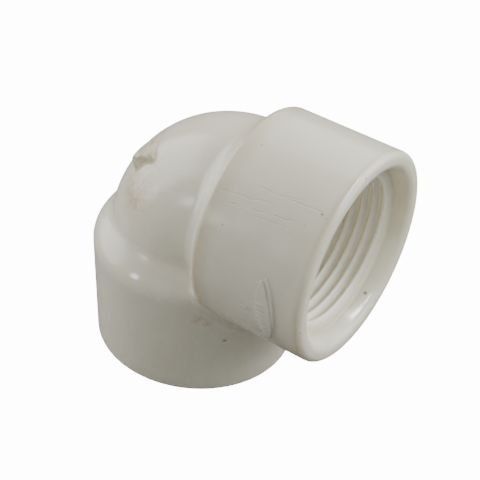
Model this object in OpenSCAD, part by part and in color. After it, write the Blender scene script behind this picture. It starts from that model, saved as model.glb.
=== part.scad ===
// 90 degree PVC elbow: a plain solvent-weld socket on one leg and a 1 inch
// parallel pipe thread on the other. Millimetres, +Z up.
// The origin is the centre of the socket's mouth, and the socket's axis is +Z.
// The threaded port opens along +X, at the height of the crossing of the two axes.
// The real part is one moulding. Its sections are separate solids that meet face to face.

/* [Elbow] */
// Distance from each mouth to the crossing of the two axes
reach = 37.5; // [36:0.5:42]
// Radius of the waterway through the corner
waterway_r = 13; // [11:0.1:13.4]
// Outer radius of the bend
bend_r = 18.8; // [18:0.1:19.4]
// Radius of the bend's centre line
bend_centre_r = 10.4; // [9:0.1:11]

/* [Socket] */
// Diameter of the pipe that is cemented in (1 inch plastic pressure pipe)
pipe_d = 33.4; // [32:0.1:33.6]
// Gap between the pipe and the socket, on the diameter
socket_gap = 0.2; // [0.1:0.05:0.3]
// Depth of the socket, from its mouth to the pipe stop
socket_depth = 22.2; // [20:0.1:22.4]
// Outer radius of the socket hub at its mouth
socket_mouth_r = 21.5; // [20.8:0.1:22.5]
// Outer radius of the socket hub just below its shoulder
socket_top_r = 23; // [22.6:0.1:24]
// Height of the straight part of the socket hub
socket_side_h = 23.6; // [22.4:0.1:24]
// Rounding of the socket mouth's outer edge
socket_edge = 0.8; // [0.3:0.1:1.5]

/* [Threaded port] */
// Outer radius of the threaded hub
hub_r = 22.5; // [21.5:0.1:23]
// Distance from the socket's axis to the hub's straight side
hub_start = 12.5; // [12:0.1:13.5]
// Rounding of the hub's outer edge at the mouth
hub_edge = 1.4; // [0.5:0.1:2]
// Opening radius at the mouth, where the lead-in starts
mouth_r = 18.9; // [18:0.1:19.5]
// Radius of the plain entry in front of the thread
entry_r = 17.2; // [16.9:0.1:17.6]
// Depth of the plain entry, lead-in included
entry_depth = 3.55; // [3:0.05:6]
// Depth of the lead-in that joins the mouth to the plain entry
lead_in = 2.6; // [1:0.1:2.8]
// Major diameter of the thread (G1, 11 threads to the inch)
thread_major_d = 33.249; // [33.1:0.001:33.4]
// Minor diameter of the thread
thread_minor_d = 30.291; // [30.1:0.001:30.5]
// Pitch of the thread
pitch = 2.309; // [2.2:0.001:2.4]
// Number of turns of thread
turns = 5.25; // [4:0.25:5.25]

/* [Shoulders] */
// Length of the sloping shoulder between the bend and the threaded hub
hub_shoulder = 2.6; // [2:0.1:3]
// Length of the rounded shoulder between the bend and the socket hub
socket_shoulder = 5; // [4:0.1:5.5]

/* [Moulding details] */
// Width of the broken-off gate, along the bend
gate_w = 7.2; // [4:0.1:8]
// Height of the gate's blunt end above the bend
gate_h = 2.6; // [1:0.1:3]
// Distance of the gate's blunt end from the elbow's middle plane
gate_far = 11.3; // [9:0.1:12]
// Distance of the gate's thin end from the elbow's middle plane
gate_near = 3; // [2:0.1:5]
// Angle of the gate's middle above the horizontal, round the bend
gate_angle = 44.5; // [40:0.5:50]
// Angle round the threaded hub that the lens-shaped pad takes up
pad_span = 42; // [36:1:50]
// Greatest width of the pad, along the hub
pad_w = 3.6; // [2.5:0.1:5]
// Height of the pad above the hub
pad_h = 0.45; // [0.2:0.05:0.6]

/* [Hidden] */
$fn = 144;
ivory = "#d6d2c6";
socket_r = (pipe_d + socket_gap) / 2;
sleeve_r = socket_r + 2.2;              // wall kept whole round the pipe socket
sleeve_top = socket_depth + 1.6;        // ledge of the pipe stop kept with the socket hub
root_r = thread_major_d / 2;
crest_r = thread_minor_d / 2;
thread_len = turns * pitch + ridge_base();
thread_end = reach - entry_depth - thread_len;
steps = 24;                             // pieces of ridge to one turn of the thread
step_lap = 1;                           // angle by which each piece runs into the next
fine = 0.01;                            // overlap that keeps a cut open
pad_x = 29.4;                           // centre of the pad along the hub
pad_turn = 100;                         // place of the pad round the hub, from its top
pad_lean = 6;                           // lean of the pad, its lower end towards the mouth
gate_sink = 1;                          // how far the gate's foot goes into the bend

// A Whitworth ridge has flanks at 27.5 degrees, and flats of equal width at its top and foot
function flank_w() = (thread_major_d - thread_minor_d) / 2 * tan(27.5);
function ridge_top() = pitch / 2 - flank_w();
function ridge_base() = ridge_top() + 2 * flank_w();

// Turn a shape drawn round +Z at the origin so that it runs along +X at the port's height
module on_port_axis() {
    translate([0, 0, reach]) rotate([0, 90, 0]) children();
}

// A quarter of an ellipse, as the outline of a rounded shoulder
function shoulder(from, to, length, n = 8) =
    [for (i = [0 : n]) let (a = 90 * i / n) [from + (to - from) * sin(a), length * (1 - cos(a))]];

// Outline of the threaded hub, from the bend to the mouth
module hub_outline() {
    start = hub_start - hub_shoulder;
    difference() {
        polygon([[0, start], [bend_r, start], [hub_r, hub_start], [hub_r, reach], [0, reach]]);
        rounded_corner(hub_r, reach, hub_edge);
    }
}

// What a rounding of radius r takes off the outer corner of an outline
module rounded_corner(x, y, r) {
    difference() {
        translate([x - r, y - r]) square(r + 1);
        translate([x - r, y - r]) circle(r);
    }
}

module hub_solid() on_port_axis() rotate_extrude() hub_outline();

// Outline of the socket hub, drawn upwards from its mouth
module socket_outline() {
    top = socket_side_h + socket_shoulder;
    difference() {
        polygon(concat(
            [[0, top]],
            [for (p = shoulder(bend_r, socket_top_r, socket_shoulder)) [p[0], top - p[1]]],
            [[socket_mouth_r, socket_edge], [socket_mouth_r, 0], [0, 0]]));
        mirror([0, 1]) rounded_corner(socket_mouth_r, 0, socket_edge);
    }
}

module socket_solid() rotate_extrude() socket_outline();

// Wall round the pipe socket that the threaded hub doesn't cut into
module socket_sleeve() cylinder(r = sleeve_r, h = sleeve_top);

// The hollow that water runs through, with both ports
module hollow() {
    waterway();
    socket_bore();
    port_bore();
}

module waterway() {
    corner(waterway_r);
    translate([0, 0, socket_depth - 1])
        cylinder(r = waterway_r, h = reach - bend_centre_r - socket_depth + 1);
    on_port_axis() translate([0, 0, bend_centre_r])
        cylinder(r = waterway_r, h = thread_end + 1 - bend_centre_r);
}

// A quarter ring of round section, along the elbow's centre line
module corner(r) {
    translate([bend_centre_r, 0, reach - bend_centre_r]) rotate([90, 0, 0])
        rotate_extrude(start = 90, angle = 90) intersection() {
            translate([bend_centre_r, 0]) circle(r);
            translate([0, -r]) square([bend_centre_r + r, 2 * r]);
        }
}

module socket_bore() translate([0, 0, -1]) cylinder(r = socket_r, h = socket_depth + 1);

module port_bore() on_port_axis() {
    translate([0, 0, thread_end]) cylinder(r = root_r, h = thread_len + 1);
    translate([0, 0, reach - entry_depth]) cylinder(r = entry_r, h = entry_depth + 1);
    translate([0, 0, reach - lead_in]) cylinder(r1 = entry_r, r2 = mouth_r, h = lead_in + fine);
}

// Outside of the corner: a quarter ring, and a straight neck into each hub
module bend_solid() {
    corner(bend_r);
    translate([0, 0, socket_side_h])
        cylinder(r = bend_r, h = reach - bend_centre_r - socket_side_h);
    on_port_axis() translate([0, 0, bend_centre_r])
        cylinder(r = bend_r, h = hub_start - bend_centre_r);
}

module bend() {
    color(ivory) difference() {
        bend_solid();
        hub_solid();
        socket_solid();
        hollow();
    }
}

module socket_hub() {
    color(ivory) difference() {
        socket_solid();
        difference() {
            hub_solid();
            socket_sleeve();
        }
        hollow();
    }
}

module threaded_hub() {
    color(ivory) difference() {
        hub_solid();
        socket_sleeve();
        hollow();
    }
}

// Cross-section of the ridge, drawn from its foot on the root of the thread
module ridge() {
    polygon([
        [root_r, 0], [crest_r, flank_w()],
        [crest_r, flank_w() + ridge_top()], [root_r, ridge_base()]]);
}

// The ridge climbs its helix in short true arcs, one step after another
module female_thread() {
    color(ivory) on_port_axis()
        for (i = [0 : turns * steps - 1])
            translate([0, 0, thread_end + (i + 0.5) * pitch / steps])
                rotate([0, 0, i * 360 / steps])
                    rotate_extrude(angle = 360 / steps + step_lap) ridge();
}

// A wedge on the side of the heel, thin at its upper end and blunt at its lower end
module gate_stub() {
    low = bend_centre_r + heel_rise(gate_far);
    color(ivory) difference() {
        translate([bend_centre_r, 0, reach - bend_centre_r]) rotate([0, 180 + gate_angle, 0])
            linear_extrude(gate_w, center = true) polygon([
                [low - gate_sink, -gate_far],
                [low + gate_h, -gate_far],
                [bend_centre_r + heel_rise(gate_near) + 0.2, -gate_near],
                [low - gate_sink, -gate_near]]);
        bend_solid();
        socket_solid();
    }
}

// Height of the bend's section at a distance from the middle plane
function heel_rise(y) = sqrt(bend_r * bend_r - y * y);

// A lens-shaped pad with short ribs across it, standing proud of the threaded hub
module mark_pad() {
    color(ivory) difference() {
        intersection() {
            on_port_axis() cylinder(r = hub_r + pad_h, h = reach);
            rotate_pad() pad_outline();
        }
        hub_solid();
    }
}

module rotate_pad() {
    translate([pad_x, 0, reach]) rotate([pad_turn, 0, 0]) linear_extrude(hub_r + 2)
        rotate(pad_lean) children();
}

// The lens is the overlap of two equal circles
module pad_outline() {
    half = hub_r * sin(pad_span / 2);
    lens_r = (half * half + pad_w * pad_w / 4) / pad_w;
    intersection() {
        translate([lens_r - pad_w / 2, 0]) circle(lens_r);
        translate([pad_w / 2 - lens_r, 0]) circle(lens_r);
    }
}

bend();
socket_hub();
threaded_hub();
female_thread();
gate_stub();
mark_pad();
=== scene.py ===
import math

import bpy
import numpy as np
from mathutils import Matrix, Vector


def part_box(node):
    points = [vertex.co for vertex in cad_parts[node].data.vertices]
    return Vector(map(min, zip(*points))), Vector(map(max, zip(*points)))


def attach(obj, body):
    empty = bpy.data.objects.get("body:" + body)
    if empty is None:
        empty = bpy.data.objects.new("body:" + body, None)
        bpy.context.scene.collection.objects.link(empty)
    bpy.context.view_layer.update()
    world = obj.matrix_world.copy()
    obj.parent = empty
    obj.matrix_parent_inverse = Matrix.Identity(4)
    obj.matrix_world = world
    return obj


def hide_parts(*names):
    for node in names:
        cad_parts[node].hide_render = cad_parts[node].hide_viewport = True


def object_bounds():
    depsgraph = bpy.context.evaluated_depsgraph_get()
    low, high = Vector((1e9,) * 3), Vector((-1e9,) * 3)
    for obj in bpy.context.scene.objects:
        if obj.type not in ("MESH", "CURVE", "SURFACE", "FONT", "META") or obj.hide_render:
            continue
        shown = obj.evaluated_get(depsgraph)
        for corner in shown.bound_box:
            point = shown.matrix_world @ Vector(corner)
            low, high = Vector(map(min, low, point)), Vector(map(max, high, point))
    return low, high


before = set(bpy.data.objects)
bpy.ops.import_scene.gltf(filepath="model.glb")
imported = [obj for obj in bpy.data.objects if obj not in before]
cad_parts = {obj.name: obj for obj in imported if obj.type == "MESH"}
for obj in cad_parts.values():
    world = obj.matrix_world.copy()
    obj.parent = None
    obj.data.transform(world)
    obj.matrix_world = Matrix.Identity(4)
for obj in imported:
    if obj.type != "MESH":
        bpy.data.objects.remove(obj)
cad_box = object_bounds()

# The builder works in millimetres, measured from the crossing of the elbow's two axes, and turns
# everything into the frame's metres at the end.
MM = 0.001
hub_low, hub_high = (Vector(corner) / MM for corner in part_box("threaded_hub"))
socket_low, socket_high = (Vector(corner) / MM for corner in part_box("socket_hub"))
thread_low, thread_high = (Vector(corner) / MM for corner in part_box("female_thread"))

AXIS_Z = (hub_low.z + hub_high.z) / 2           # height of the port's axis
REACH = hub_high.x                              # crossing of the axes to the port's mouth
HUB_R = hub_high.z - AXIS_Z                     # outside of the threaded hub
SOCKET_MAX_R = (socket_high.y - socket_low.y) / 2
ROOT_R = (thread_high.y - thread_low.y) / 2     # root of the thread
THREAD_START = thread_low.x

# Sizes that the frame's boxes don't give
BEND_R = 18.15          # outside of the bend where it meets the threaded hub
BEND_SWELL = 1.35       # how much thicker the bend is where it meets the socket hub
BEND_CENTRE_R = 10.4    # radius of the bend's centre line
WATERWAY_R = 13.0
SOCKET_BORE_R = 16.8
SOCKET_DEPTH = 22.2
SOCKET_MOUTH_R = 21.5   # outside of the socket hub at its mouth
ENTRY_R = 17.2          # the port's smooth entry, past the thread
MOUTH_R = 18.9          # the entry's flare: its radius at the mouth, its length and its rounding
LEAD_IN = 2.6
FLARE_ROUND = 3.0
CREST_R = 15.7          # crest of the thread, and how far one turn advances
PITCH = 2.309


# ---------------------------------------------------------------- distance fields

# A field gives, at any point, a distance that is below zero inside the shape.

def round_and(a, b, radius):
    """Where both fields are inside, with the edge between them rounded."""
    outside = np.hypot(np.maximum(a + radius, 0), np.maximum(b + radius, 0))
    return np.minimum(-radius, np.maximum(a, b)) + outside


def round_or(a, b, radius):
    """Where either field is inside, with a fillet between them."""
    inside = np.hypot(np.maximum(radius - a, 0), np.maximum(radius - b, 0))
    return np.maximum(radius, np.minimum(a, b)) - inside


FAR = 1e3               # stands for a stretch of the elbow that a point isn't beside

def elbow_path(x, y, z, radius):
    """A tube of the given radius along the elbow's centre line: up Z, round the corner, out along X."""
    rise = np.hypot(np.hypot(x - BEND_CENTRE_R, z + BEND_CENTRE_R) - BEND_CENTRE_R, y)
    corner = (x <= BEND_CENTRE_R) & (z >= -BEND_CENTRE_R)
    up = np.where(z <= -BEND_CENTRE_R, np.hypot(x, y), FAR)
    out = np.where(x >= BEND_CENTRE_R, np.hypot(y, z), FAR)
    return np.minimum(np.where(corner, rise, FAR), np.minimum(up, out)) - radius


def bend_field(x, y, z):
    """The bend, which grows thicker from the threaded hub to the socket hub."""
    turned = np.arctan2(z + BEND_CENTRE_R, BEND_CENTRE_R - x) / (math.pi / 2)
    return elbow_path(x, y, z, BEND_R + BEND_SWELL * (1 - np.clip(turned, 0, 1)))


HUB_START = 9.9         # foot of the sloping shoulder at the hub's back, and the shoulder's length
HUB_SHOULDER = 2.6
HUB_RIM = 1.4           # rounding of the rim, and of the shoulder's top
HUB_CORNER = 0.7

def threaded_hub_field(x, y, z):
    r = np.hypot(y, z)
    rise, run = HUB_R - BEND_R, HUB_SHOULDER
    slope = math.hypot(rise, run)
    shoulder = ((HUB_START + HUB_SHOULDER - x) * rise + (r - HUB_R) * run) / slope
    return round_and(round_and(r - HUB_R, x - REACH, HUB_RIM), shoulder, HUB_CORNER)


SOCKET_SHOULDER_Z = -8.45   # top of the shoulder, and its rounding
SOCKET_SHOULDER_R = 5.4
SOCKET_EDGE = 0.9           # rounding of the mouth's outer edge
SOCKET_TAPER_TOP = -13.0    # height at which the taper would reach the largest radius

def socket_hub_field(x, y, z):
    r = np.hypot(x, y)
    up = (z + AXIS_Z) / (SOCKET_TAPER_TOP + AXIS_Z)
    side = r - (SOCKET_MOUTH_R + (SOCKET_MAX_R - SOCKET_MOUTH_R) * up)
    top = z - SOCKET_SHOULDER_Z
    return round_and(round_and(side, -AXIS_Z - z, SOCKET_EDGE), top, SOCKET_SHOULDER_R)


def hollow_field(x, y, z):
    water = elbow_path(x, y, z, WATERWAY_R)
    pipe = np.maximum(np.hypot(x, y) - SOCKET_BORE_R, z + AXIS_Z - SOCKET_DEPTH)
    r = np.hypot(y, z)
    entry = np.maximum(r - ENTRY_R, THREAD_START - x)
    rise, run = MOUTH_R - ENTRY_R, LEAD_IN
    flare = ((r - MOUTH_R) * run + (REACH - x) * rise) / math.hypot(rise, run)
    return np.minimum(np.minimum(water, pipe), round_or(entry, flare, FLARE_ROUND))


EDGE_ROUND = 1.2        # rounding of every edge between the outside and the hollow
SOCKET_FILLET = 2.9     # fillets between the bend and the two hubs
HUB_FILLET = 2.0
BEND_OVERLAP = 4        # how far the bend runs into the threaded hub
BEND_FOOT = -18         # height at which it ends inside the socket hub

def body_field(x, y, z):
    bend = bend_field(x, y, z)
    bend = np.maximum(np.maximum(bend, x - HUB_START - BEND_OVERLAP), BEND_FOOT - z)
    shell = round_or(bend, socket_hub_field(x, y, z), SOCKET_FILLET)
    shell = round_or(shell, threaded_hub_field(x, y, z), HUB_FILLET)
    return round_and(shell, -hollow_field(x, y, z), EDGE_ROUND)


# ---------------------------------------------------------------- meshing

CORNERS = [(i, j, k) for i in (0, 1) for j in (0, 1) for k in (0, 1)]
EDGES = [(a, b) for a in CORNERS for b in CORNERS
         if a < b and sum(abs(p - q) for p, q in zip(a, b)) == 1]

def net(field, low, high, step):
    """A closed quad mesh of a field's zero surface: one vertex to each cell that the surface crosses."""
    low = np.asarray(low, float)
    size = [int(math.ceil((h - l) / step)) + 1 for l, h in zip(low, high)]
    ticks = [low[axis] + step * np.arange(size[axis]) for axis in range(3)]
    value = field(*np.meshgrid(*ticks, indexing="ij", sparse=True)) + np.zeros(size)
    inside = value < 0
    filled = sum(inside[i:size[0] - 1 + i, j:size[1] - 1 + j, k:size[2] - 1 + k].astype(np.int8)
                 for i, j, k in CORNERS)
    cells = np.argwhere((filled > 0) & (filled < len(CORNERS)))
    index = np.full(filled.shape, -1)
    index[tuple(cells.T)] = np.arange(len(cells))
    points, normals = settle(field, low + step * (cells + crossings(value, cells)))
    return points, cell_quads(inside, index), normals


def crossings(value, cells):
    """The mean of the places where the surface cuts each cell's edges, from 0 to 1 inside the cell."""
    total, count = np.zeros((len(cells), 3)), np.zeros(len(cells))
    for a, b in EDGES:
        value_a, value_b = value[tuple((cells + a).T)], value[tuple((cells + b).T)]
        cut = (value_a < 0) != (value_b < 0)
        part = np.where(cut, value_a / np.where(cut, value_a - value_b, 1), 0)[:, None]
        total += np.where(cut[:, None], np.array(a) + part * (np.array(b) - np.array(a)), 0)
        count += cut
    return total / count[:, None]


def cell_quads(inside, index):
    """One quad, between four cells, round each grid line that goes through the surface."""
    quads = []
    for axis in range(3):
        u, v = (axis + 1) % 3, (axis + 2) % 3
        where = np.argwhere(inside != np.roll(inside, -1, axis))
        where = where[(where[:, axis] < inside.shape[axis] - 1) & (where[:, u] > 0) & (where[:, v] > 0)]
        du, dv = np.eye(3, dtype=int)[u], np.eye(3, dtype=int)[v]
        ring = [index[tuple((where + offset).T)] for offset in (-du - dv, -dv, 0 * du, -du)]
        quad = np.stack(ring, 1)
        flip = ~inside[tuple(where.T)]
        quad[flip] = quad[flip][:, ::-1]
        quads.append(quad)
    return np.concatenate(quads)


SLOPE_REACH = 0.02      # distance to each side over which a slope is measured
LEAST_SLOPE = 0.2       # keeps flat spots of a field from throwing a point far away
LONGEST_MOVE = 0.3
SETTLE_ROUNDS = 4

def slope_at(field, points):
    """The field's direction of slope at each point, and how steep it is."""
    slope = np.stack([
        field(*(points + SLOPE_REACH * e).T) - field(*(points - SLOPE_REACH * e).T) for e in np.eye(3)
    ], 1) / (2 * SLOPE_REACH)
    steep = np.maximum(np.linalg.norm(slope, axis=1), LEAST_SLOPE)[:, None]
    return slope / steep, steep


def settle(field, points):
    """Move points onto the field's zero surface, and give the surface's normals there."""
    for turn in range(SETTLE_ROUNDS):
        normals, steep = slope_at(field, points)
        move = np.clip(field(*points.T)[:, None] / steep, -LONGEST_MOVE, LONGEST_MOVE)
        points = points - move * normals
    return points, slope_at(field, points)[0]


# The thread is a closed ring that lines the hub's bore, with its ridge wound on the inside. Past
# the last turn its inside opens like a funnel, until it meets the wall of the entry.
THREAD_SEGMENTS = 224
THREAD_ROWS_PER_TURN = 20
THREAD_LAP = 0.1        # how far the ring's start goes into the hub's ledge
LINING = 1.6            # how far the ring's outside goes into the hub
CREST_LEAD = 0.65       # from the thread's start to the first crest, at the bottom of the port
CREST_SHARPNESS = 1.3   # 1 for a plain wave, more for narrower crests
THREAD_BLEND = 0.3      # rounding where the turns meet the funnel
FUNNEL_START = 33.15    # the funnel's narrow end, its radius there, and its wide end
FUNNEL_R = 15.85
FUNNEL_STOP = 34.0
FUNNEL_BACK = 2.2       # radius lost per millimetre behind the funnel's narrow end
FUNNEL_SKIN = 0.03      # how far inside the entry's wall the funnel's wide end stays

def wall_radius(along):
    """Radius of the entry's wall, from the body's own hollow."""
    r = np.linspace(ENTRY_R - 1, MOUTH_R + 1, 300)
    return np.array([np.interp(0, hollow_field(x, 0 * r, r), r) for x in along.ravel()])[:, None]


def thread_radius(along, turn):
    """Inside radius of the thread, from the distance along the port and the angle in turns."""
    climb = (along - THREAD_START - CREST_LEAD) / PITCH - turn - 0.25
    ridge = (0.5 + 0.5 * np.cos(2 * np.pi * climb)) ** CREST_SHARPNESS
    radius = ROOT_R - (ROOT_R - CREST_R) * ridge
    wall = wall_radius(np.maximum(along, FUNNEL_START))
    opened = np.clip((along - FUNNEL_START) / (FUNNEL_STOP - FUNNEL_START), 0, 1)
    funnel = wall - FUNNEL_SKIN - (wall - FUNNEL_R) * (1 - opened) ** 2
    funnel -= FUNNEL_BACK * np.maximum(FUNNEL_START - along, 0)
    part = np.clip(0.5 + 0.5 * (radius - funnel) / THREAD_BLEND, 0, 1)
    return funnel + (radius - funnel) * part + THREAD_BLEND * part * (1 - part)


def thread_ring():
    count = int((FUNNEL_STOP - THREAD_START) / PITCH * THREAD_ROWS_PER_TURN)
    start, stop = THREAD_START - THREAD_LAP, FUNNEL_STOP
    along = np.concatenate([np.linspace(start, stop, count), [stop, start]])
    turn = np.arange(THREAD_SEGMENTS) / THREAD_SEGMENTS
    radius = thread_radius(along[:, None], turn[None, :])
    radius[-2:] = ENTRY_R + LINING
    angle = 2 * np.pi * turn
    points = np.stack([np.broadcast_to(along[:, None], radius.shape),
                       radius * np.cos(angle), radius * np.sin(angle)], -1)
    rows = len(along)
    index = np.arange(rows * THREAD_SEGMENTS).reshape(rows, THREAD_SEGMENTS)
    down, across = np.roll(index, -1, 0), np.roll(index, -1, 1)
    faces = np.stack([index, down, np.roll(down, -1, 1), across], -1).reshape(-1, 4)
    return points.reshape(-1, 3), faces


# The gate's stub is a wedge on the side of the heel: a ramp that rises towards a blunt, torn end.
GATE_ANGLE = math.radians(44.5)      # its middle, above the horizontal, round the bend's centre
GATE_FAR, GATE_NEAR = 11.3, 3.0      # its blunt and thin ends, from the middle plane
GATE_HALF_WIDTH = 3.2
GATE_HEIGHT = 1.7                    # at the middle of the blunt end
GATE_LEAN = 0.17                     # how much higher its lower side is, per millimetre
GATE_RAMP = 1.15                     # 1 for a straight ramp, more for a hollow one
GATE_TOP_SCALE = 0.95                # brings the sloping top's field nearer to a true distance
GATE_SIDE_SLOPE = 0.1                # how much the sides and the blunt end lean in as they rise
GATE_END_SLOPE = 0.25
GATE_ROUND = 0.6                     # rounding of the long edges, and of the blunt end's
GATE_END_ROUND = 0.45
GATE_FILLET = 0.5
GATE_ROOT = 4.0                      # how far the wedge goes into the bend
GATE_SKIN = 0.04                     # how far below the bend's surface the flat surround lies
SURROUND_SIDE = 1.2                  # the surround's width beside the wedge, where it starts from the
SURROUND_NEAR = 1.6                  # middle plane, and how far it goes past the blunt end
SURROUND_FAR = 1.6

def gate_field(x, y, z):
    above = bend_field(x, y, z)
    across = (x - BEND_CENTRE_R) * math.sin(GATE_ANGLE) + (z + BEND_CENTRE_R) * math.cos(GATE_ANGLE)
    along = np.clip((-y - GATE_NEAR) / (GATE_FAR - GATE_NEAR), 0, 1.1)
    height = (GATE_HEIGHT - GATE_LEAN * across) * along ** GATE_RAMP
    # Waves of a few sizes make the top and the blunt end look torn
    ripple = (0.12 * np.sin(3.1 * across + 0.9) - 0.05 * np.sin(1.7 * across)) * along
    tear = 0.16 * np.sin(1.3 * across + 0.4) + 0.06 * np.sin(3.1 * above + 1.7 * across)
    top = (above - height - ripple) * GATE_TOP_SCALE
    side = np.abs(across) - GATE_HALF_WIDTH * (0.5 + 0.5 * along) + GATE_SIDE_SLOPE * above
    blunt = -GATE_FAR - y + tear + GATE_END_SLOPE * above
    wedge = round_and(round_and(top, side, GATE_ROUND), blunt, GATE_END_ROUND)
    joined = round_or(wedge, above + GATE_SKIN, GATE_FILLET)
    ends = np.maximum(y + SURROUND_NEAR, -GATE_FAR - SURROUND_FAR - y)
    patch = np.maximum(np.abs(across) - GATE_HALF_WIDTH - SURROUND_SIDE, ends)
    return np.maximum(np.maximum(joined, patch), -(above + GATE_ROOT))


# The pad is a lens that follows the hub, with short plain ribs on its lower half and a curved
# ridge beside it. Its height is drawn over x and t, which runs from -1 at its top to 1 at its foot.
PAD_MIDDLE = -100.0                  # angle of the pad's middle round the port, from straight up
PAD_HALF_SPAN = 20.0
PAD_X = 29.6                         # its middle along the port, at t = 0
PAD_HALF_WIDTH = 1.7
PAD_HEIGHT = 0.34
PAD_EDGE = 0.28                      # width over which the pad's side rises
PAD_SUNK = 0.25                      # depth below the hub's surface where there is no pad
PAD_ROOT = 4.5                       # how far the patch goes into the hub
RIB_HEIGHT = 0.15
RIB_SPACING = 0.15                   # in t, as are the ends of the ribs and of the ridge
RIB_SLANT = 0.03                     # in t per millimetre
RIBS_FROM, RIBS_TO = -0.38, 0.86
RIDGE_X = 31.95                      # the outer side of the ridge along the port, at t = 0
RIDGE_EDGE = 0.35
RIDGE_LEVEL = 0.85                   # the ridge's height, as a part of the pad's
RIDGE_FROM, RIDGE_TO = -1.15, 0.5

def swell(distance, width):
    """0 outside an edge and 1 inside it, rising smoothly over the given width."""
    rise = np.clip(distance / width + 0.5, 0, 1)
    return rise * rise * (3 - 2 * rise)


def pad_height(x, t):
    centre = PAD_X + 0.8 * t - 0.5 * t * t
    half = PAD_HALF_WIDTH * np.maximum(1 - np.abs(t) ** 2.2, 0) ** 0.75
    lens = swell(half - np.abs(x - centre), PAD_EDGE)
    ribbed = swell(t - RIBS_FROM, 0.12) * swell(RIBS_TO - t, 0.12) * swell(centre + 0.1 - x, 0.9)
    rib = RIB_HEIGHT * ribbed * np.cos(np.pi * (t - RIB_SLANT * (x - centre)) / RIB_SPACING) ** 2
    outer = RIDGE_X + 0.35 * t - 1.2 * t * t
    middle = (centre + half + outer) / 2
    wide = np.maximum(outer - centre - half, 0.3) * 0.42 * np.clip(1.5 * (t + 1.2), 0.15, 1)
    ends = swell(t - RIDGE_FROM, 0.3) * swell(RIDGE_TO - t, 0.8)
    ridge = swell(wide - np.abs(x - middle), RIDGE_EDGE) * ends
    raised = np.maximum(lens * (1 + rib / PAD_HEIGHT), RIDGE_LEVEL * ridge)
    return (PAD_HEIGHT + PAD_SUNK) * np.minimum(raised, 1) - PAD_SUNK + rib * lens


TICK_X, TICK_T = 24.6, 0.08          # a small raised tick to the left of the pad
TICK_HALF_LENGTH = 0.8
TICK_HALF_WIDTH = 0.30
TICK_HEIGHT = 0.38                   # from the sunk level, so that it tops the hub by less than the pad
TICK_SLANT = 0.22
TICK_SOFTENING = 0.12                # rounds the tick's crest
MM_PER_DEGREE = 0.39                 # round the hub, nearly

def tick_height(x, t):
    drop = (t - TICK_T) * PAD_HALF_SPAN * MM_PER_DEGREE
    off = np.hypot(drop - TICK_SLANT * (x - TICK_X), TICK_SOFTENING)
    bar = swell(TICK_HALF_WIDTH - off, 0.3) * swell(TICK_HALF_LENGTH - np.abs(x - TICK_X), 0.5)
    return TICK_HEIGHT * bar - PAD_SUNK


def hub_patch(height, x_range, t_range, step):
    """A closed patch on the hub whose outside follows a height over x and t."""
    x = np.arange(*x_range, step)[:, None]
    t = np.arange(*t_range, step / (HUB_R * math.radians(PAD_HALF_SPAN)))[None, :]
    angle = np.radians(PAD_MIDDLE - t * PAD_HALF_SPAN)
    points = []
    for radius in (HUB_R + height(x, t), HUB_R - PAD_ROOT + 0 * (x + t)):
        points.append(np.stack([x + 0 * t, radius * np.sin(angle), radius * np.cos(angle)], -1))
    rows, cols = x.size, t.size
    top = np.arange(rows * cols).reshape(rows, cols)
    under = top + rows * cols
    faces = [np.stack([grid[:-1, :-1], grid[1:, :-1], grid[1:, 1:], grid[:-1, 1:]], -1).reshape(-1, 4)
             for grid in (top[:, ::-1], under)]
    rim = np.concatenate([top[:-1, 0], top[-1, :-1], top[:0:-1, -1], top[0, :0:-1]])
    ahead = np.roll(rim, -1)
    faces.append(np.stack([rim, ahead, ahead + rows * cols, rim + rows * cols], -1))
    return np.concatenate(points).reshape(-1, 3), np.concatenate(faces)


def new_piece(name, points, faces, material, normals=None):
    """A smooth-shaded mesh object from points in millimetres round the crossing of the axes."""
    mesh = bpy.data.meshes.new(name)
    mesh.from_pydata(((points + (0, 0, AXIS_Z)) * MM).tolist(), [], list(map(list, faces)))
    mesh.polygons.foreach_set("use_smooth", np.ones(len(mesh.polygons), bool))
    mesh.update()
    if normals is not None:
        mesh.normals_split_custom_set_from_vertices(normals.tolist())
    piece = bpy.data.objects.new(name, mesh)
    bpy.context.collection.objects.link(piece)
    mesh.materials.append(material)
    return piece


# ---------------------------------------------------------------- materials

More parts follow.
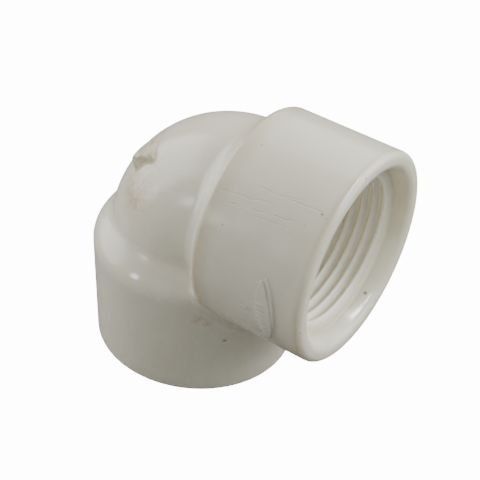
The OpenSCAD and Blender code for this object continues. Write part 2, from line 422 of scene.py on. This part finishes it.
class Nodes:
    """Short names for building one material's node tree."""

    def __init__(self, name):
        self.material = bpy.data.materials.new(name)
        self.material.use_nodes = True
        self.tree = self.material.node_tree
        self.shader = self.tree.nodes["Principled BSDF"]

    def node(self, kind, inputs=None, **settings):
        made = self.tree.nodes.new(kind)
        for key, value in settings.items():
            setattr(made, key, value)
        for key, value in (inputs or {}).items():
            self.join(value, made.inputs[key])
        return made

    def join(self, value, socket):
        if isinstance(value, bpy.types.NodeSocket):
            self.tree.links.new(value, socket)
        else:
            socket.default_value = value

    def math(self, operation, a, b=0.0, c=0.0):
        return self.node("ShaderNodeMath", {0: a, 1: b, 2: c}, operation=operation).outputs[0]

    def times(self, a, b):
        return self.math("MULTIPLY", a, b)

    def vector(self, operation, a, b=(0, 0, 0)):
        return self.node("ShaderNodeVectorMath", {0: a, 1: b}, operation=operation).outputs

    def apart(self, where):
        """The x, y and z of a place."""
        return self.node("ShaderNodeSeparateXYZ", {0: where}).outputs

    def from_port_axis(self, where):
        """A place's distance from the port's axis."""
        return self.vector("LENGTH", self.vector("MULTIPLY", where, (0, 1, 1))[0])["Value"]

    def noise(self, where, scale, detail=2.0, rough=0.5):
        made = self.node("ShaderNodeTexNoise", {"Vector": where, "Scale": scale, "Detail": detail,
                                                "Roughness": rough})
        return made.outputs["Fac"]

    def ramp(self, value, low, high, out_low=0.0, out_high=1.0):
        made = self.node("ShaderNodeMapRange", {0: value, 1: low, 2: high, 3: out_low, 4: out_high},
                         interpolation_type="SMOOTHSTEP")
        return made.outputs[0]

    def mix(self, amount, a, b):
        made = self.node("ShaderNodeMix", data_type="RGBA")
        for value, socket in ((amount, made.inputs[0]), (a, made.inputs[6]), (b, made.inputs[7])):
            self.join((*value, 1) if isinstance(value, tuple) else value, socket)
        return made.outputs[2]

    def bump(self, height, distance, strength=1.0, before=None):
        made = self.node("ShaderNodeBump", {"Height": height, "Distance": distance,
                                            "Strength": strength})
        if before is not None:
            self.join(before, made.inputs["Normal"])
        return made.outputs["Normal"]


IVORY = (0.84, 0.81, 0.66)
IVORY_WARM = (0.84, 0.795, 0.64)
IVORY_GREEN = (0.81, 0.795, 0.64)
# Olive for painted shade in the thread's roots and in the port's entry
SHADE_OLIVE = (0.74, 0.70, 0.52)
# Paler ivory that paints light on the thread's turns
THREAD_LIT_IVORY = (0.90, 0.885, 0.79)
STAIN = (0.56, 0.47, 0.30)
SPECK = (0.20, 0.16, 0.11)
# Brown for painted shade at the hub's back edge and in the last groove, and for a darker line before the
# rim
SHADE_BROWN = (0.62, 0.52, 0.36)

def on_hub(x, degrees, radius=HUB_R):
    """A place on the threaded hub: along the port, and round it from straight up."""
    turn = math.radians(degrees)
    return Vector((x, radius * math.sin(turn), radius * math.cos(turn)))


# Marks on the moulding: place in millimetres from the crossing of the axes, radius, and strength
SPECKS = [
    (on_hub(17.3, -63.5), 0.30, 0.55), (on_hub(16.5, -19.5), 0.28, 0.50),
    (on_hub(34.6, -38.9), 0.45, 0.50), (on_hub(35.8, -40), 0.22, 0.45),
    (on_hub(32.7, -47), 0.20, 0.40), (on_hub(37.3, -11, 21.8), 0.40, 0.55),
    (on_hub(37.4, -102.5, 21.7), 0.28, 0.50), (on_hub(35.2, 149, 18.3), 0.55, 0.80),
    (Vector((2.2, -13.0, 11.6)), 0.25, 0.50), (Vector((16.9, -14.7, -22.8)), 0.55, 0.50),
]
SMUDGES = [
    (Vector((12.8, -18.9, -16.7)), 2.1, 0.60), (Vector((14.3, -17.8, -17.3)), 1.6, 0.85),
    (on_hub(26, -101.5), 0.9, 0.45), (Vector((-8.0, -13.0, 6.0)), 13.0, 0.45),
]
GATE_STAIN = (Vector((-7.0, -14.6, 3.2)), 6.5, 0.85)

# Rubbed places that shine more: place and radius
POLISHED = [
    (Vector((-1.4, -22.2, -10.8)), 4.0), (on_hub(36.2, 158, 18.4), 5.0), (on_hub(37.0, -15, 22.0), 5.0),
]
POLISH = 0.45           # the part of the roughness that the rubbing takes away


def millimetres(nodes):
    """The surface point in millimetres from the crossing of the axes."""
    spot = nodes.node("ShaderNodeTexCoord").outputs["Object"]
    made = nodes.node("ShaderNodeVectorMath", {0: spot, 1: (1 / MM, 1 / MM, 1 / MM), 2: (0, 0, -AXIS_Z)},
                      operation="MULTIPLY_ADD")
    return made.outputs[0]


def near(nodes, where, centre, inner, outer):
    """1 within the inner radius of a point, falling to 0 at the outer radius."""
    gap = nodes.vector("DISTANCE", where, centre)["Value"]
    return nodes.ramp(gap, inner, outer, 1.0, 0.0)


def ivory_colour(nodes, where):
    """Ivory that drifts a little between warm and green over the moulding."""
    broad = nodes.noise(where, 0.055, 3)
    colour = nodes.mix(nodes.ramp(broad, 0.35, 0.65), IVORY_WARM, IVORY_GREEN)
    return nodes.mix(nodes.ramp(nodes.noise(where, 0.16, 2), 0.3, 0.7, 0.0, 0.6), colour, IVORY)


def thread_colour(nodes, where, colour):
    """Painted light on paler turns, and painted olive shade in the roots. The funnel past them is plain,
    with half of the painted shade.
    """
    along = nodes.apart(where)[0]
    # Painted olive shade, deepest in the roots of the thread
    root_shade = nodes.ramp(nodes.from_port_axis(where), CREST_R + 0.4, ROOT_R, 0.0, 0.8)
    root_shade = nodes.times(root_shade, nodes.ramp(along, FUNNEL_START, FUNNEL_START + 0.6, 1.0, 0.5))
    # Painted light: the turns are paler than the body
    turns = nodes.ramp(along, FUNNEL_START - 1, FUNNEL_START + 0.3, 1.0, 0.0)
    return nodes.mix(root_shade, nodes.mix(turns, colour, THREAD_LIT_IVORY), SHADE_OLIVE)


def hub_edge_shade_and_rim_line(nodes, where):
    """Painted shade: an olive-brown band that fades from the hub's back edge, where it meets the bend,
    and a fainter darker line before its rim.
    """
    along = nodes.apart(where)[0]
    radius = nodes.from_port_axis(where)
    outside = nodes.times(nodes.ramp(radius, HUB_R - 1.5, HUB_R - 0.3),
                          nodes.ramp(radius, HUB_R + 0.1, HUB_R + 0.4, 1.0, 0.0))
    back = HUB_START + HUB_SHOULDER
    edge = nodes.times(nodes.ramp(along, back - 0.8, back + 0.3),
                       nodes.ramp(along, back + 0.6, back + 5.0, 0.60, 0.0))
    rim = nodes.times(nodes.ramp(along, REACH - 2.4, REACH - 1.3, 0.0, 0.42),
                      nodes.ramp(along, REACH - 1.2, REACH - 0.5, 1.0, 0.0))
    patchy = nodes.ramp(nodes.noise(where, 0.10, 2), 0.3, 0.7, 0.5, 1.0)
    return nodes.times(nodes.times(nodes.math("ADD", edge, rim), outside), patchy)


def entry_shade(nodes, where):
    """Painted olive shade on the wall of the port's entry, between the last turn and the rounded mouth.
    """
    along = nodes.apart(where)[0]
    inside = nodes.ramp(nodes.from_port_axis(where), ENTRY_R + 0.2, MOUTH_R, 0.6, 0.0)
    entry = nodes.times(nodes.ramp(along, THREAD_START, THREAD_START + 1),
                        nodes.ramp(along, REACH - 3.0, REACH - 0.8, 1.0, 0.0))
    return nodes.times(inside, entry)


# Where the painted shade of the last groove lies
LAST_TURN = 34.2        # where the thread's last groove shows in the entry, at the bottom of the port

def last_groove_shade(nodes, where):
    """Painted shade: a dark line where the thread's last groove meets the bottom of the entry."""
    part = nodes.apart(where)
    gap = nodes.math("ABSOLUTE", nodes.math("SUBTRACT", part[0], LAST_TURN))
    line = nodes.times(nodes.ramp(gap, 0.15, 0.8, 1.0, 0.0), nodes.ramp(part[2], -15.5, -13.5, 1.0, 0.0))
    wall = nodes.ramp(nodes.from_port_axis(where), ENTRY_R + 0.3, ENTRY_R + 0.8, 1.0, 0.0)
    return nodes.times(line, wall)


def gate_stain(nodes, where, colour):
    """The brown, blotchy and pitted patch beside the gate."""
    centre, radius, strength = GATE_STAIN
    patch = near(nodes, where, centre, radius * 0.2, radius)
    blotch = nodes.ramp(nodes.noise(where, 0.8, 4, 0.75), 0.42, 0.62, 0.35, 1.0)
    colour = nodes.mix(nodes.times(nodes.times(patch, blotch), strength), colour, STAIN)
    pits = nodes.times(patch, nodes.ramp(nodes.noise(where, 1.5, 3, 0.7), 0.60, 0.68))
    return nodes.mix(nodes.times(pits, 0.35), colour, STAIN)


def marks(nodes, where, colour):
    """The smudges and the ragged dark specks."""
    wobble = nodes.noise(where, 0.5, 5, 0.7)
    for centre, radius, strength in SMUDGES:
        patch = nodes.times(near(nodes, where, centre, 0.0, radius), nodes.ramp(wobble, 0.35, 0.6))
        colour = nodes.mix(nodes.times(patch, strength), colour, STAIN)
    shift = nodes.node("ShaderNodeCombineXYZ", {0: wobble, 1: wobble}).outputs[0]
    ragged = nodes.vector("ADD", where, shift)[0]
    for centre, radius, strength in SPECKS:
        spot = near(nodes, ragged, centre + Vector((0.5, 0.5, 0)), radius * 0.3, radius)
        colour = nodes.mix(nodes.times(spot, strength), colour, SPECK)
    return colour


def rubbed(nodes, where, rough):
    """The roughness, less of it where the moulding is polished."""
    for centre, radius in POLISHED:
        shine = nodes.times(near(nodes, where, centre, radius * 0.3, radius), POLISH)
        rough = nodes.times(rough, nodes.math("SUBTRACT", 1.0, shine))
    return rough


GRAIN_DEPTH = 0.00002       # metres, as every bump's distance is
SCAR_GRAIN_DEPTH = 0.00010
WAVE_DEPTH = 0.0006

def pvc(name, thread=False, scar=False, waxy=True):
    """Semi-gloss ivory PVC. The thick body is waxy, and the thin pieces set into it aren't."""
    nodes = Nodes(name)
    where = millimetres(nodes)
    colour = ivory_colour(nodes, where)
    if thread:
        # Painted light on the thread's turns and painted shade in its roots
        colour = thread_colour(nodes, where, colour)
    # Painted shade at the hub's back edge, and a darker line before the rim
    colour = nodes.mix(hub_edge_shade_and_rim_line(nodes, where), colour, SHADE_BROWN)
    if not thread:
        # Painted olive shade inside the port's entry
        colour = nodes.mix(entry_shade(nodes, where), colour, SHADE_OLIVE)
    # Painted shade along the thread's last groove
    colour = nodes.mix(last_groove_shade(nodes, where), colour, SHADE_BROWN)
    colour = marks(nodes, where, gate_stain(nodes, where, colour))
    rough = nodes.ramp(nodes.noise(where, 0.25, 2, 0.5), 0.3, 0.7, 0.20, 0.23)
    if not thread:
        rough = rubbed(nodes, where, rough)
    grain = GRAIN_DEPTH
    if scar:
        browned = nodes.ramp(nodes.noise(where, 0.6, 3), 0.35, 0.7, 0.30, 0.85)
        colour = nodes.mix(browned, colour, STAIN)
        rough = nodes.math("ADD", rough, 0.12)
        grain = SCAR_GRAIN_DEPTH
    normal = nodes.bump(nodes.noise(where, 0.9, 4, 0.6), grain, 0.8)
    normal = nodes.bump(nodes.noise(where, 0.12, 2), WAVE_DEPTH, 0.35, normal)
    nodes.join(colour, nodes.shader.inputs["Base Color"])
    nodes.join(rough, nodes.shader.inputs["Roughness"])
    nodes.join(flow_lines(nodes, where, normal), nodes.shader.inputs["Normal"])
    nodes.shader.inputs["IOR"].default_value = 1.53
    nodes.shader.inputs["Subsurface Weight"].default_value = 0.4 if waxy else 0.0
    nodes.shader.inputs["Subsurface Radius"].default_value = (1.0, 0.9, 0.65)
    nodes.shader.inputs["Subsurface Scale"].default_value = 0.004
    return nodes.material


# Flow lines on the threaded hub: where along the port each starts and ends, its angle round the
# hub at the start, in degrees from straight up, and how fast the angle grows
FLOW_LINES = [(13.8, 25.5, -49.0, 0.42), (20.5, 35.2, -39.9, 0.13), (25.0, 30.5, -39.4, 0.55),
              (16.0, 31.8, -53.0, 0.36), (21.5, 30.5, -53.6, 0.22)]
LINE_WIDTH = 0.28       # half the groove's width
LINE_DEPTH = 0.10
LINE_DRIFT = 3.5        # degrees, from one side to the other, that a line can wander over

def flow_lines(nodes, where, normal):
    """Fine grooves that run along the threaded hub, near the top of its front."""
    part = nodes.apart(where)
    turn = nodes.times(nodes.math("ARCTAN2", part[1], part[2]), 180 / math.pi)
    drift = nodes.times(nodes.math("SUBTRACT", nodes.noise(where, 0.35, 3, 0.6), 0.5), LINE_DRIFT)
    turn = nodes.math("ADD", turn, drift)
    uneven = nodes.ramp(nodes.noise(where, 0.45, 3, 0.6), 0.35, 0.6, 0.25, 1.0)
    depth = 0.0
    for start, stop, degrees, slope in FLOW_LINES:
        line = nodes.math("MULTIPLY_ADD", part[0], slope, degrees - slope * start)
        gap = nodes.times(nodes.math("ABSOLUTE", nodes.math("SUBTRACT", turn, line)),
                          HUB_R * math.pi / 180)
        groove = nodes.ramp(gap, 0.0, LINE_WIDTH, 1.0, 0.0)
        ends = nodes.times(nodes.ramp(part[0], start, start + 1.5),
                           nodes.ramp(part[0], stop - 1.5, stop, 1.0, 0.0))
        depth = nodes.math("MAXIMUM", depth, nodes.times(groove, ends))
    height = nodes.times(nodes.times(depth, uneven), -LINE_DEPTH)
    return nodes.bump(height, MM, 1.0, normal)


# ---------------------------------------------------------------- pieces

ivory = pvc("ivory_pvc")
thread_ivory = pvc("thread_pvc", thread=True, waxy=False)
pad_ivory = pvc("pad_pvc", waxy=False)
scar = pvc("gate_scar_pvc", scar=True, waxy=False)

def add(name, points, faces, material, nodes, normals=None):
    piece = new_piece(name, points, faces, material, normals)
    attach(piece, "root")
    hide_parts(*nodes)


# The body, from the bend and both hubs
BODY_STEP = 0.4         # size of the mesh's cells
MARGIN = 1.5            # room round the body
SIDE = SOCKET_MAX_R + MARGIN
BODY_LOW, BODY_HIGH = (-SIDE, -SIDE, -AXIS_Z - MARGIN), (REACH + MARGIN, SIDE, HUB_R + MARGIN)

points, faces, normals = net(body_field, BODY_LOW, BODY_HIGH, BODY_STEP)
add("elbow_body", points, faces, ivory, ("bend", "socket_hub", "threaded_hub"), normals)

# The thread
points, faces = thread_ring()
add("female_thread_ring", points, faces, thread_ivory, ("female_thread",))

# The gate's stub
GATE_STEP = 0.16
GATE_LOW, GATE_HIGH = (-16, -13.5, -2), (2, -1, 16)     # a box with room round the wedge

points, faces, normals = net(gate_field, GATE_LOW, GATE_HIGH, GATE_STEP)
add("gate_stub_torn", points, faces, scar, ("gate_stub",), normals)

# The pad and its tick, each in a range of x and t
PAD_STEP = 0.07
PAD_RANGES = (27.2, 32.6), (-1.25, 1.1)
TICK_RANGES = (22.9, 25.9), (-0.2, 0.3)

lens, lens_faces = hub_patch(pad_height, *PAD_RANGES, PAD_STEP)
tick, tick_faces = hub_patch(tick_height, *TICK_RANGES, PAD_STEP)
add("mark_pad_ribbed", np.concatenate([lens, tick]), [*lens_faces, *(tick_faces + len(lens))],
    pad_ivory, ("mark_pad",))


# ---------------------------------------------------------------- floor, lights and camera

FLOOR_HALF = 6.0
FLOOR_DROP = 0.0001     # keeps the floor from touching the socket's mouth
GLOW = 14.0             # brightness of the floor and of the studio to the camera
STUDIO_LIGHT = 0.02     # what the studio throws on the object

def make_floor():
    """A floor that looks bright to the camera and throws little light back on the object."""
    mesh = bpy.data.meshes.new("floor")
    s = FLOOR_HALF
    mesh.from_pydata([(-s, -s, 0), (s, -s, 0), (s, s, 0), (-s, s, 0)], [], [(0, 1, 2, 3)])
    floor = bpy.data.objects.new("floor", mesh)
    bpy.context.collection.objects.link(floor)
    floor.location.z = cad_box[0].z - FLOOR_DROP
    nodes = Nodes("pale_floor")
    nodes.shader.inputs["Base Color"].default_value = (0.08, 0.08, 0.08, 1)
    nodes.shader.inputs["Roughness"].default_value = 0.9
    seen = nodes.node("ShaderNodeLightPath").outputs["Is Camera Ray"]
    nodes.shader.inputs["Emission Color"].default_value = (1, 1, 1, 1)
    nodes.join(nodes.times(seen, GLOW), nodes.shader.inputs["Emission Strength"])
    mesh.materials.append(nodes.material)


def make_world(strength, seen_strength):
    """A white studio that lights the object faintly and looks bright to the camera."""
    world = bpy.data.worlds.new("studio")
    bpy.context.scene.world = world
    world.use_nodes = True
    tree = world.node_tree
    seen = tree.nodes.new("ShaderNodeLightPath").outputs["Is Camera Ray"]
    blend = tree.nodes.new("ShaderNodeMapRange")
    blend.inputs[3].default_value = strength
    blend.inputs[4].default_value = seen_strength
    tree.links.new(seen, blend.inputs[0])
    tree.links.new(blend.outputs[0], tree.nodes["Background"].inputs["Strength"])
    tree.nodes["Background"].inputs["Color"].default_value = (1, 1, 1, 1)


def area_light(name, way, distance, size, power, gloss_only=False):
    """A soft box that shines on the object from the given direction, or shows only in its gloss."""
    light = bpy.data.lights.new(name, "AREA")
    light.shape = "RECTANGLE"
    light.size, light.size_y = size
    light.energy = power
    lamp = bpy.data.objects.new(name, light)
    bpy.context.collection.objects.link(lamp)
    lamp.visible_diffuse = not gloss_only
    way = Vector(way).normalized()
    lamp.location = CAMERA_AIM + way * distance
    lamp.rotation_euler = way.to_track_quat("Z", "Y").to_euler()


CAMERA_AZIMUTH, CAMERA_ELEVATION, CAMERA_ROLL = 31.08, 37.24, 5.85
CAMERA_DISTANCE = 0.27668
CAMERA_AIM = Vector((0.00932, 0.00015, 0.02811))
CAMERA_LENS = 100.0

def make_camera():
    turn, rise, roll = (math.radians(a) for a in (CAMERA_AZIMUTH, CAMERA_ELEVATION, CAMERA_ROLL))
    back = Vector((math.sin(turn) * math.cos(rise), -math.cos(turn) * math.cos(rise), math.sin(rise)))
    level = Vector((math.cos(turn), math.sin(turn), 0))
    right = level * math.cos(roll) + back.cross(level) * math.sin(roll)
    up = back.cross(right)
    camera = bpy.data.cameras.new("camera")
    camera.lens = CAMERA_LENS
    camera.clip_start, camera.clip_end = 0.01, 20
    rig = bpy.data.objects.new("camera", camera)
    bpy.context.collection.objects.link(rig)
    rig.matrix_world = Matrix.Translation(CAMERA_AIM + back * CAMERA_DISTANCE) @ Matrix(
        (right, up, back)).transposed().to_4x4()
    bpy.context.scene.camera = rig


make_floor()
make_world(STUDIO_LIGHT, GLOW)

# Two near boxes whose light falls off down the object
area_light("left_box", (-0.95, -0.15, 0.34), 0.3, (0.3, 0.3), 1.13)
area_light("mouth_box", (0.65, 0.25, 0.7), 0.3, (0.3, 0.3), 0.76)

# Three large soft boxes, a small key, and a narrow strip for the streak in the port's entry
area_light("right_box", (0.75, 0.65, 0.3), 0.9, (0.9, 0.9), 7.4)
area_light("back_box", (0, 0.7, 0.7), 0.9, (0.9, 0.9), 6.2)
area_light("front_fill", (0.25, -0.95, 0.25), 0.9, (0.9, 0.9), 2.9)
area_light("left_key", (-0.51, -0.82, 0.24), 0.9, (0.10, 0.16), 0.75)
area_light("top_glint", (0.36, 0.13, 0.92), 0.9, (0.60, 0.07), 6.5, gloss_only=True)

make_camera()
